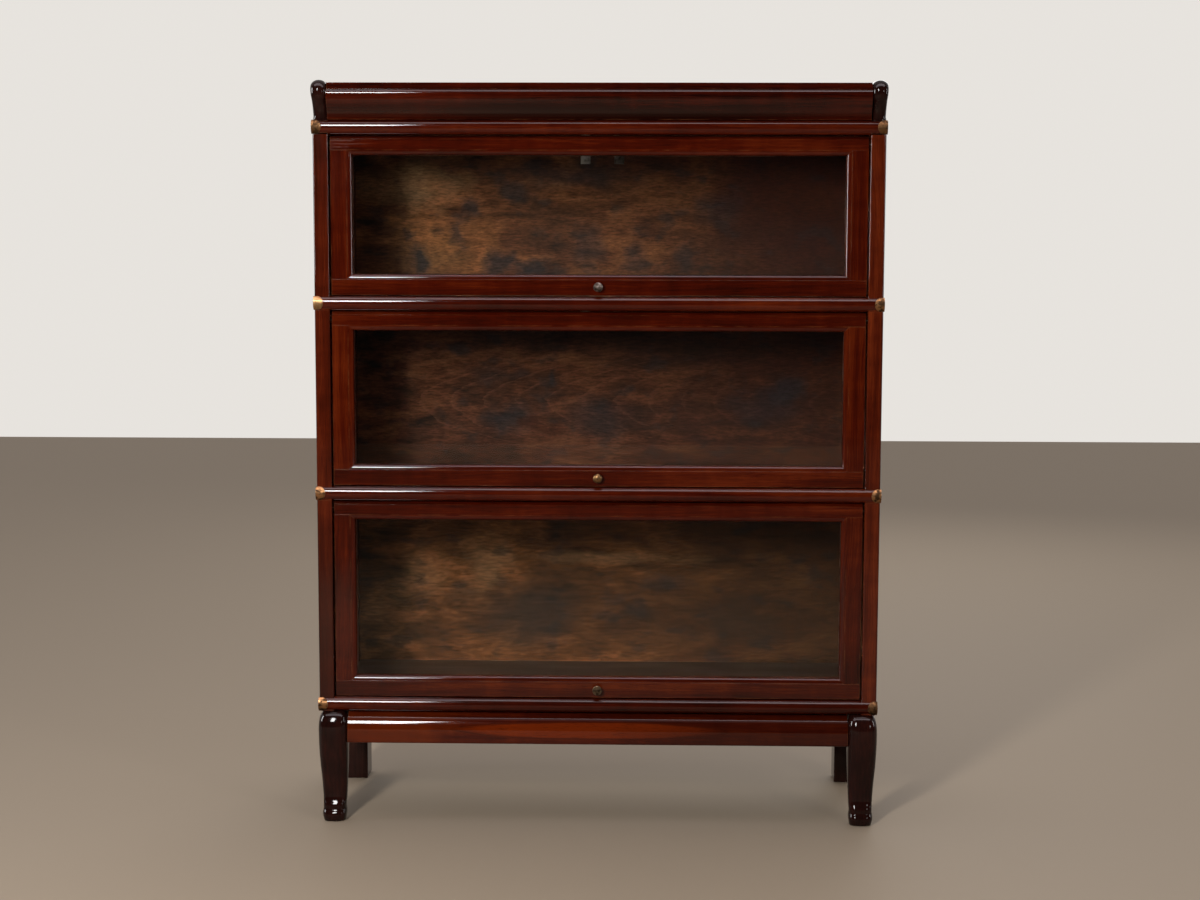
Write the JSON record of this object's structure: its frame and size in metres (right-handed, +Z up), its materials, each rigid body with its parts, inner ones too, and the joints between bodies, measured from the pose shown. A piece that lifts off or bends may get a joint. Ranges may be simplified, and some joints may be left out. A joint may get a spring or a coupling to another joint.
{
  "type": "barrister bookcase",
  "caption": "Free-standing sectional bookcase with stacked glazed sections whose doors lift and push back, a moulded cornice and a legged base.",
  "frame": {"origin": "floor level, middle of the overall width and depth", "axes": "+Z up, +Y from the glazed front to the back, +X to the right seen from the front"},
  "size_m": [0.874, 0.304, 1.1505],
  "materials": {
    "mahogany": "french polished red-brown mahogany",
    "ebonised_wood": "near-black polished stain",
    "aged_back_wood": "worn, blotched interior stain",
    "shelf_wood": "dull interior stain",
    "carcase_wood": "unpolished dark stain",
    "aged_brass": "tarnished, worn bright on the high spots",
    "aged_bronze": "dark handled bronze",
    "dark_steel": "dull mill finish with light tarnish",
    "clear_glass": "clear old window glass"
  },
  "bodies": {
    "case": {"side_board_right_lower": "mahogany", "side_board_left_lower": "mahogany", "shelf_lower": "shelf_wood", "nose_rail_lower": "mahogany", "back_panel_lower": "aged_back_wood", "side_board_right_middle": "mahogany", "side_board_left_middle": "mahogany", "shelf_middle": "shelf_wood", "nose_rail_middle": "mahogany", "back_panel_middle": "aged_back_wood", "side_board_right_upper": "mahogany", "side_board_left_upper": "mahogany", "shelf_upper": "shelf_wood", "nose_rail_upper": "mahogany", "back_panel_upper": "aged_back_wood", "equaliser_brackets": "dark_steel", "equaliser_rivets": "dark_steel", "side_bands": "dark_steel", "brass_band_caps": "aged_brass", "band_screws": "dark_steel", "front_legs": "ebonised_wood", "rear_legs": "ebonised_wood", "front_apron": "mahogany", "base_side_rails": "mahogany", "base_back_rail": "carcase_wood", "cornice_ends": "ebonised_wood", "cornice_moulding": "mahogany", "cornice_top_panel": "mahogany", "cornice_back_rail": "carcase_wood", "nose_rail_cornice": "mahogany"},
    "door_lower": {"door_top_rail_lower": "mahogany", "door_bottom_rail_lower": "mahogany", "door_stiles_lower": "mahogany", "door_glass_lower": "clear_glass", "glazing_beads_lower": "mahogany", "door_knob_lower": "aged_bronze"},
    "carriage_lower": {"pivot_pins_lower": "dark_steel", "slide_carriage_lower": "dark_steel"},
    "equaliser_arm_right_lower": {"equaliser_arm_right_lower": "dark_steel"},
    "equaliser_arm_left_lower": {"equaliser_arm_left_lower": "dark_steel"},
    "door_middle": {"door_top_rail_middle": "mahogany", "door_bottom_rail_middle": "mahogany", "door_stiles_middle": "mahogany", "door_glass_middle": "clear_glass", "glazing_beads_middle": "mahogany", "door_knob_middle": "aged_bronze"},
    "carriage_middle": {"pivot_pins_middle": "dark_steel", "slide_carriage_middle": "dark_steel"},
    "equaliser_arm_right_middle": {"equaliser_arm_right_middle": "dark_steel"},
    "equaliser_arm_left_middle": {"equaliser_arm_left_middle": "dark_steel"},
    "door_upper": {"door_top_rail_upper": "mahogany", "door_bottom_rail_upper": "mahogany", "door_stiles_upper": "mahogany", "door_glass_upper": "clear_glass", "glazing_beads_upper": "mahogany", "door_knob_upper": "aged_bronze"},
    "carriage_upper": {"pivot_pins_upper": "dark_steel", "slide_carriage_upper": "dark_steel"},
    "equaliser_arm_right_upper": {"equaliser_arm_right_upper": "dark_steel"},
    "equaliser_arm_left_upper": {"equaliser_arm_left_upper": "dark_steel"}
  },
  "joints": [
    {"name": "door_push_back_lower", "type": "slide", "parent": "case", "child": "carriage_lower", "axis": [0, 1, 0], "range_m": [0, 0.215]},
    {"name": "door_lift_lower", "type": "hinge", "parent": "carriage_lower", "child": "door_lower", "pos_m": [0, -0.118, 0.4945], "axis": [-1, 0, 0], "range_deg": [0, 90]},
    {"name": "equaliser_right_turn_lower", "type": "hinge", "parent": "case", "child": "equaliser_arm_right_lower", "pos_m": [0.028, 0.132, 0.497], "axis": [0, 0, 1], "range_deg": [0, 35.66]},
    {"name": "equaliser_left_turn_lower", "type": "hinge", "parent": "case", "child": "equaliser_arm_left_lower", "pos_m": [-0.028, 0.132, 0.497], "axis": [0, 0, -1], "range_deg": [0, 35.66]},
    {"name": "door_push_back_middle", "type": "slide", "parent": "case", "child": "carriage_middle", "axis": [0, 1, 0], "range_m": [0, 0.209]},
    {"name": "door_lift_middle", "type": "hinge", "parent": "carriage_middle", "child": "door_middle", "pos_m": [0, -0.118, 0.7885], "axis": [-1, 0, 0], "range_deg": [0, 90]},
    {"name": "equaliser_right_turn_middle", "type": "hinge", "parent": "case", "child": "equaliser_arm_right_middle", "pos_m": [0.028, 0.132, 0.791], "axis": [0, 0, 1], "range_deg": [0, 34.73]},
    {"name": "equaliser_left_turn_middle", "type": "hinge", "parent": "case", "child": "equaliser_arm_left_middle", "pos_m": [-0.028, 0.132, 0.791], "axis": [0, 0, -1], "range_deg": [0, 34.73]},
    {"name": "door_push_back_upper", "type": "slide", "parent": "case", "child": "carriage_upper", "axis": [0, 1, 0], "range_m": [0, 0.184]},
    {"name": "door_lift_upper", "type": "hinge", "parent": "carriage_upper", "child": "door_upper", "pos_m": [0, -0.118, 1.0555], "axis": [-1, 0, 0], "range_deg": [0, 90]},
    {"name": "equaliser_right_turn_upper", "type": "hinge", "parent": "case", "child": "equaliser_arm_right_upper", "pos_m": [0.028, 0.132, 1.058], "axis": [0, 0, 1], "range_deg": [0, 30.86]},
    {"name": "equaliser_left_turn_upper", "type": "hinge", "parent": "case", "child": "equaliser_arm_left_upper", "pos_m": [-0.028, 0.132, 1.058], "axis": [0, 0, -1], "range_deg": [0, 30.86]}
  ],
  "couplings": [
    {"joint": "equaliser_right_turn_lower", "follows": "door_push_back_lower", "rad_per_m": 2.8943},
    {"joint": "equaliser_left_turn_lower", "follows": "door_push_back_lower", "rad_per_m": 2.8943},
    {"joint": "equaliser_right_turn_middle", "follows": "door_push_back_middle", "rad_per_m": 2.8998},
    {"joint": "equaliser_left_turn_middle", "follows": "door_push_back_middle", "rad_per_m": 2.8998},
    {"joint": "equaliser_right_turn_upper", "follows": "door_push_back_upper", "rad_per_m": 2.9258},
    {"joint": "equaliser_left_turn_upper", "follows": "door_push_back_upper", "rad_per_m": 2.9258}
  ]
}
